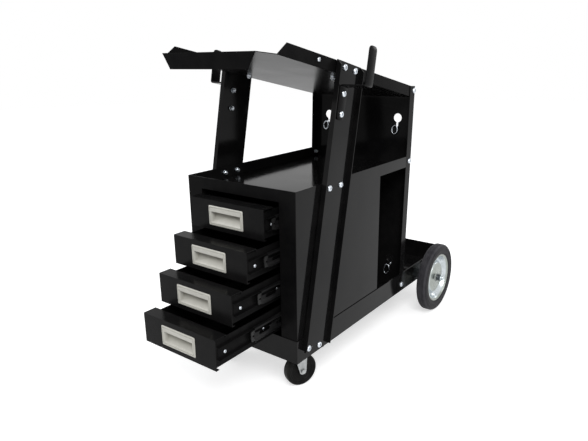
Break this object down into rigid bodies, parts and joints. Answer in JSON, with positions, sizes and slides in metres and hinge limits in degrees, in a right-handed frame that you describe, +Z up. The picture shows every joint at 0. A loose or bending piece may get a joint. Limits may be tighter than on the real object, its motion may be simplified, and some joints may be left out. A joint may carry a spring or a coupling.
{
  "type": "welding cart",
  "caption": "Rolling sheet-steel welding cart with sliding drawers, machine shelf, sloping top tray, side hooks and a rear bay with chains for a gas cylinder.",
  "frame": {"origin": "on the ground, under the middle of the bounding box with the drawers as pictured", "axes": "+Z up; the drawers open towards -Y and the cylinder bay is at +Y; nodes named left are at -X and nodes named right at +X"},
  "size_m": [0.4636, 0.998, 0.7755],
  "materials": {
    "black_coat": "gloss powder coat",
    "slide_black": "satin black",
    "zinc": "bright zinc",
    "wheel_zinc": "bright pressed steel",
    "tyre": "ribbed rubber",
    "caster_rubber": "matt",
    "pull_grey": "satin"
  },
  "bodies": {
    "frame": {"base_tray": "black_coat", "cabinet_side_left": "black_coat", "cabinet_side_right": "black_coat", "cabinet_front_frame": "black_coat", "cabinet_back": "black_coat", "shelf_tray": "black_coat", "rear_panel": "black_coat", "post_left": "black_coat", "post_right": "black_coat", "top_tray": "black_coat", "hook_left": "black_coat", "hook_right": "black_coat", "axle": "zinc", "axle_spacer_left": "zinc", "axle_spacer_right": "zinc", "axle_cap_left": "zinc", "axle_cap_right": "zinc", "caster_plate_left": "zinc", "caster_plate_right": "zinc", "slide_outer_left_1": "slide_black", "slide_outer_right_1": "slide_black", "slide_outer_left_2": "slide_black", "slide_outer_right_2": "slide_black", "slide_outer_left_3": "slide_black", "slide_outer_right_3": "slide_black", "slide_outer_left_4": "slide_black", "slide_outer_right_4": "slide_black", "upper_chain": "zinc", "lower_chain": "zinc"},
    "drawer_1": {"drawer_box_1": "black_coat", "drawer_front_1": "black_coat", "drawer_pull_1": "pull_grey"},
    "slide_middle_1": {"slide_middle_left_1": "slide_black", "slide_middle_right_1": "slide_black"},
    "drawer_2": {"drawer_box_2": "black_coat", "drawer_front_2": "black_coat", "drawer_pull_2": "pull_grey"},
    "slide_middle_2": {"slide_middle_left_2": "slide_black", "slide_middle_right_2": "slide_black"},
    "drawer_3": {"drawer_box_3": "black_coat", "drawer_front_3": "black_coat", "drawer_pull_3": "pull_grey"},
    "slide_middle_3": {"slide_middle_left_3": "slide_black", "slide_middle_right_3": "slide_black"},
    "drawer_4": {"drawer_box_4": "black_coat", "drawer_front_4": "black_coat", "drawer_pull_4": "pull_grey"},
    "slide_middle_4": {"slide_middle_left_4": "slide_black", "slide_middle_right_4": "slide_black"},
    "caster_fork_left": {"caster_fork_left": "zinc", "caster_pin_left": "zinc"},
    "caster_wheel_left": {"caster_wheel_left": "caster_rubber"},
    "rear_wheel_left": {"rear_rim_left": "wheel_zinc", "rear_tyre_left": "tyre"},
    "caster_fork_right": {"caster_fork_right": "zinc", "caster_pin_right": "zinc"},
    "caster_wheel_right": {"caster_wheel_right": "caster_rubber"},
    "rear_wheel_right": {"rear_rim_right": "wheel_zinc", "rear_tyre_right": "tyre"}
  },
  "joints": [
    {"name": "drawer_1_slide", "type": "slide", "parent": "frame", "child": "drawer_1", "axis": [0, -1, 0], "range_m": [-0.04, 0.25]},
    {"name": "slide_middle_1_run", "type": "slide", "parent": "frame", "child": "slide_middle_1", "axis": [0, -1, 0], "range_m": [-0.02, 0.125]},
    {"name": "drawer_2_slide", "type": "slide", "parent": "frame", "child": "drawer_2", "axis": [0, -1, 0], "range_m": [-0.097, 0.193]},
    {"name": "slide_middle_2_run", "type": "slide", "parent": "frame", "child": "slide_middle_2", "axis": [0, -1, 0], "range_m": [-0.0485, 0.0965]},
    {"name": "drawer_3_slide", "type": "slide", "parent": "frame", "child": "drawer_3", "axis": [0, -1, 0], "range_m": [-0.146, 0.144]},
    {"name": "slide_middle_3_run", "type": "slide", "parent": "frame", "child": "slide_middle_3", "axis": [0, -1, 0], "range_m": [-0.073, 0.072]},
    {"name": "drawer_4_slide", "type": "slide", "parent": "frame", "child": "drawer_4", "axis": [0, -1, 0], "range_m": [-0.196, 0.094]},
    {"name": "slide_middle_4_run", "type": "slide", "parent": "frame", "child": "slide_middle_4", "axis": [0, -1, 0], "range_m": [-0.098, 0.047]},
    {"name": "caster_left_swivel", "type": "hinge", "parent": "frame", "child": "caster_fork_left", "pos_m": [-0.11, -0.263, 0], "axis": [0, 0, 1], "continuous": true},
    {"name": "caster_left_roll", "type": "hinge", "parent": "caster_fork_left", "child": "caster_wheel_left", "pos_m": [-0.09984, -0.23907, 0.04], "axis": [0.9205, -0.3907, 0], "continuous": true},
    {"name": "rear_wheel_left_roll", "type": "hinge", "parent": "frame", "child": "rear_wheel_left", "pos_m": [-0.203, 0.339, 0.1015], "axis": [1, 0, 0], "continuous": true},
    {"name": "caster_right_swivel", "type": "hinge", "parent": "frame", "child": "caster_fork_right", "pos_m": [0.11, -0.263, 0], "axis": [0, 0, 1], "continuous": true},
    {"name": "caster_right_roll", "type": "hinge", "parent": "caster_fork_right", "child": "caster_wheel_right", "pos_m": [0.12016, -0.23907, 0.04], "axis": [0.9205, -0.3907, 0], "continuous": true},
    {"name": "rear_wheel_right_roll", "type": "hinge", "parent": "frame", "child": "rear_wheel_right", "pos_m": [0.203, 0.339, 0.1015], "axis": [1, 0, 0], "continuous": true}
  ],
  "couplings": [
    {"joint": "slide_middle_1_run", "follows": "drawer_1_slide", "ratio": 0.5},
    {"joint": "slide_middle_2_run", "follows": "drawer_2_slide", "ratio": 0.5},
    {"joint": "slide_middle_3_run", "follows": "drawer_3_slide", "ratio": 0.5},
    {"joint": "slide_middle_4_run", "follows": "drawer_4_slide", "ratio": 0.5}
  ]
}
